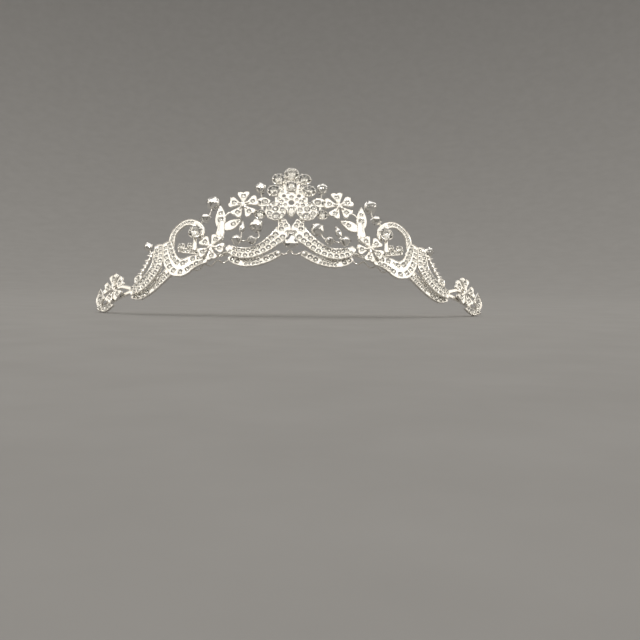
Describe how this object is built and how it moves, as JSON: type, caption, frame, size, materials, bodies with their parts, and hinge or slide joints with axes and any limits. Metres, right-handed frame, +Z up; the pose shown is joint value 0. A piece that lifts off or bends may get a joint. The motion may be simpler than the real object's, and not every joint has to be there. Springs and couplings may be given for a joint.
{
  "type": "bridal tiara",
  "caption": "Bridal tiara: a curved metal band carries pave ribbons, heart-petal flowers, leaves, wire-mounted beads and a hanging crystal drop under a stone rosette.",
  "frame": {"origin": "front centre of the arc at the foot of the tiara, where its lower edge meets the head", "axes": "+X along the tiara to the viewer's right, -Y towards the viewer of its front, +Z up; the tiara is tilted back 36 degrees as it is worn, so its two ends are the lowest points"},
  "size_m": [0.1584, 0.0352, 0.0574],
  "materials": {
    "rhodium_casting": "polished rhodium plate",
    "rhodium_wire": "polished wire",
    "crystal": "cut crystal"
  },
  "bodies": {
    "frame": {"base_band": "rhodium_casting", "strand_bridge_wire": "rhodium_wire", "rosette_frame": "rhodium_casting", "rosette_stone_centre": "crystal", "rosette_stone_top": "crystal", "keystone": "crystal", "drop_hook": "rhodium_wire", "pin_loops_right": "rhodium_wire", "centre_ribbon_right": "rhodium_casting", "centre_strand_right": "rhodium_casting", "side_ribbon_right": "rhodium_casting", "outer_ribbon_right": "rhodium_casting", "outer_strand_right": "rhodium_casting", "shelf_strand_right": "rhodium_casting", "scroll_arch_right": "rhodium_casting", "leaf_spray_right": "rhodium_casting", "leaf_link_right": "rhodium_casting", "thorn_twig_right": "rhodium_casting", "end_leaf_pair_right": "rhodium_casting", "sprig_wire_right": "rhodium_wire", "upper_flower_right": "rhodium_casting", "base_flower_right": "rhodium_casting", "end_flower_right": "rhodium_casting", "cluster_disc_right": "rhodium_casting", "rosette_stone_upper_right": "crystal", "rosette_stone_lower_right": "crystal", "arch_stone_right": "crystal", "pin_loops_left": "rhodium_wire", "centre_ribbon_left": "rhodium_casting", "centre_strand_left": "rhodium_casting", "side_ribbon_left": "rhodium_casting", "outer_ribbon_left": "rhodium_casting", "outer_strand_left": "rhodium_casting", "shelf_strand_left": "rhodium_casting", "scroll_arch_left": "rhodium_casting", "leaf_spray_left": "rhodium_casting", "leaf_link_left": "rhodium_casting", "thorn_twig_left": "rhodium_casting", "end_leaf_pair_left": "rhodium_casting", "sprig_wire_left": "rhodium_wire", "upper_flower_left": "rhodium_casting", "base_flower_left": "rhodium_casting", "end_flower_left": "rhodium_casting", "cluster_disc_left": "rhodium_casting", "rosette_stone_upper_left": "crystal", "rosette_stone_lower_left": "crystal", "arch_stone_left": "crystal"},
    "hanging_drop": {"drop_bail": "rhodium_wire", "crystal_drop": "crystal"},
    "top_bead_right": {"top_bead_right": "crystal"},
    "sprig_bead_right": {"sprig_bead_right": "crystal"},
    "oval_bead_right": {"oval_bead_right": "crystal"},
    "rondelle_bead_right": {"rondelle_bead_right": "crystal"},
    "twig_bead_right": {"twig_bead_right": "crystal"},
    "top_bead_left": {"top_bead_left": "crystal"},
    "sprig_bead_left": {"sprig_bead_left": "crystal"},
    "oval_bead_left": {"oval_bead_left": "crystal"},
    "rondelle_bead_left": {"rondelle_bead_left": "crystal"},
    "twig_bead_left": {"twig_bead_left": "crystal"}
  },
  "joints": [
    {"name": "drop_swing", "type": "hinge", "parent": "frame", "child": "hanging_drop", "pos_m": [0, -0.00181, 0.01134], "axis": [1, 0, 0], "range_deg": [-75, 2]},
    {"name": "top_bead_right_spin", "type": "hinge", "parent": "frame", "child": "top_bead_right", "pos_m": [0.01195, 0.01367, 0.02814], "axis": [0.1056, 0.4451, 0.8892], "continuous": true},
    {"name": "sprig_bead_right_spin", "type": "hinge", "parent": "frame", "child": "sprig_bead_right", "pos_m": [0.00998, 0.00397, 0.01188], "axis": [-0.5925, 0.2973, 0.7487], "continuous": true},
    {"name": "oval_bead_right_spin", "type": "hinge", "parent": "frame", "child": "oval_bead_right", "pos_m": [0.01802, 0.0047, 0.01099], "axis": [-0.3432, 0.3555, 0.8694], "continuous": true},
    {"name": "rondelle_bead_right_spin", "type": "hinge", "parent": "frame", "child": "rondelle_bead_right", "pos_m": [0.03089, 0.01459, 0.02139], "axis": [-0.1573, 0.3836, 0.91], "continuous": true},
    {"name": "twig_bead_right_spin", "type": "hinge", "parent": "frame", "child": "twig_bead_right", "pos_m": [0.05504, 0.01821, 0.00439], "axis": [0.0533, 0.4403, 0.8962], "continuous": true},
    {"name": "top_bead_left_spin", "type": "hinge", "parent": "frame", "child": "top_bead_left", "pos_m": [-0.01195, 0.01367, 0.02814], "axis": [-0.1056, 0.4451, 0.8892], "continuous": true},
    {"name": "sprig_bead_left_spin", "type": "hinge", "parent": "frame", "child": "sprig_bead_left", "pos_m": [-0.01323, 0.00504, 0.01329], "axis": [-0.2646, 0.4493, 0.8533], "continuous": true},
    {"name": "oval_bead_left_spin", "type": "hinge", "parent": "frame", "child": "oval_bead_left", "pos_m": [-0.01858, 0.00547, 0.01237], "axis": [0.0743, 0.4231, 0.9031], "continuous": true},
    {"name": "rondelle_bead_left_spin", "type": "hinge", "parent": "frame", "child": "rondelle_bead_left", "pos_m": [-0.03032, 0.01475, 0.02212], "axis": [0.2499, 0.3505, 0.9026], "continuous": true},
    {"name": "twig_bead_left_spin", "type": "hinge", "parent": "frame", "child": "twig_bead_left", "pos_m": [-0.05611, 0.01924, 0.00511], "axis": [-0.3218, 0.5578, 0.765], "continuous": true}
  ]
}
